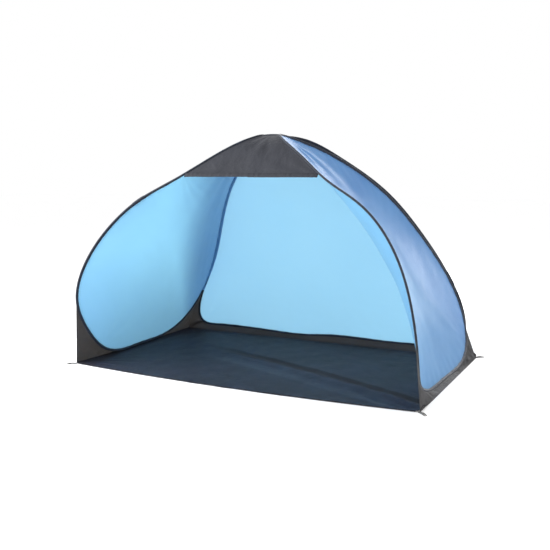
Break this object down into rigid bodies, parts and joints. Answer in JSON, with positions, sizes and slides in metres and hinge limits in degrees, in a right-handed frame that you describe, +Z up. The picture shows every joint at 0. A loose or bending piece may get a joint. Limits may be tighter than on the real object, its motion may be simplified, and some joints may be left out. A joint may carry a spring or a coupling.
{
  "type": "pop up tent",
  "caption": "Open-fronted pop up beach tent: sprung hoops in fabric sleeves carry two side wings and a back panel over a sewn floor with corner gussets and a small ridge awning.",
  "frame": {"origin": "middle of the floor sheet, on the ground", "axes": "+X to the tent's right as seen from the open front, +Y towards the back panel, +Z up"},
  "size_m": [2.082, 1.2731, 1.2817],
  "materials": {
    "spring_steel": "bright drawn spring wire",
    "ferrule_steel": "crimped tube",
    "binding_tape": "ribbed binding tape, near black navy, stitched along its edge",
    "back_fabric": "light polyester, pale sky blue, plain weave, light comes through",
    "wing_fabric": "light polyester, mid blue, plain weave, light comes through",
    "awning_fabric": "dark grey polyester, hemmed",
    "floor_fabric": "coated woven groundsheet, dark navy",
    "gusset_fabric": "coated polyester, warm dark grey, creased",
    "webbing": "flat woven webbing",
    "eyelet_metal": "pressed eyelet, dull nickel"
  },
  "bodies": {
    "tent_body": {"back_hoop": "spring_steel", "back_hoop_ferrule": "ferrule_steel", "back_sleeve": "binding_tape", "back_sleeve_patch": "binding_tape", "back_panel": "back_fabric", "floor_sheet": "floor_fabric", "front_sill": "floor_fabric", "back_skirt": "gusset_fabric", "left_rear_gusset": "gusset_fabric", "left_corner_web": "gusset_fabric", "right_rear_gusset": "gusset_fabric", "right_corner_web": "gusset_fabric", "awning": "awning_fabric", "awning_hem": "awning_fabric", "back_left_peg_loop": "webbing", "back_left_eyelet": "eyelet_metal", "back_right_peg_loop": "webbing", "back_right_eyelet": "eyelet_metal"},
    "right_wing": {"right_wing_hoop": "spring_steel", "right_wing_hoop_ferrule": "ferrule_steel", "right_wing_sleeve": "binding_tape", "right_wing_sleeve_patch": "binding_tape", "right_wing_panel": "wing_fabric", "right_skirt": "gusset_fabric", "right_front_gusset": "gusset_fabric", "front_right_peg_loop": "webbing", "front_right_eyelet": "eyelet_metal"},
    "left_wing": {"left_wing_hoop": "spring_steel", "left_wing_hoop_ferrule": "ferrule_steel", "left_wing_sleeve": "binding_tape", "left_wing_sleeve_patch": "binding_tape", "left_wing_panel": "wing_fabric", "left_skirt": "gusset_fabric", "left_front_gusset": "gusset_fabric", "front_left_peg_loop": "webbing", "front_left_eyelet": "eyelet_metal"}
  },
  "joints": [
    {"name": "right_wing_fold", "type": "hinge", "parent": "tent_body", "child": "right_wing", "pos_m": [0.912, 0.6, 0.235], "axis": [0.5618, 0.4616, -0.6865], "range_deg": [0, 45], "stiffness_Nm_per_rad": 5, "springref_deg": -34.38, "deforming": ["floor_sheet", "front_sill", "awning", "awning_hem", "back_skirt", "right_rear_gusset", "right_corner_web"]},
    {"name": "left_wing_fold", "type": "hinge", "parent": "tent_body", "child": "left_wing", "pos_m": [-0.912, 0.6, 0.235], "axis": [0.5618, -0.4616, 0.6865], "range_deg": [0, 45], "stiffness_Nm_per_rad": 5, "springref_deg": -34.38, "deforming": ["left_rear_gusset", "left_corner_web"]}
  ],
  "couplings": [
    {"joint": "left_wing_fold", "follows": "right_wing_fold", "ratio": 1}
  ]
}
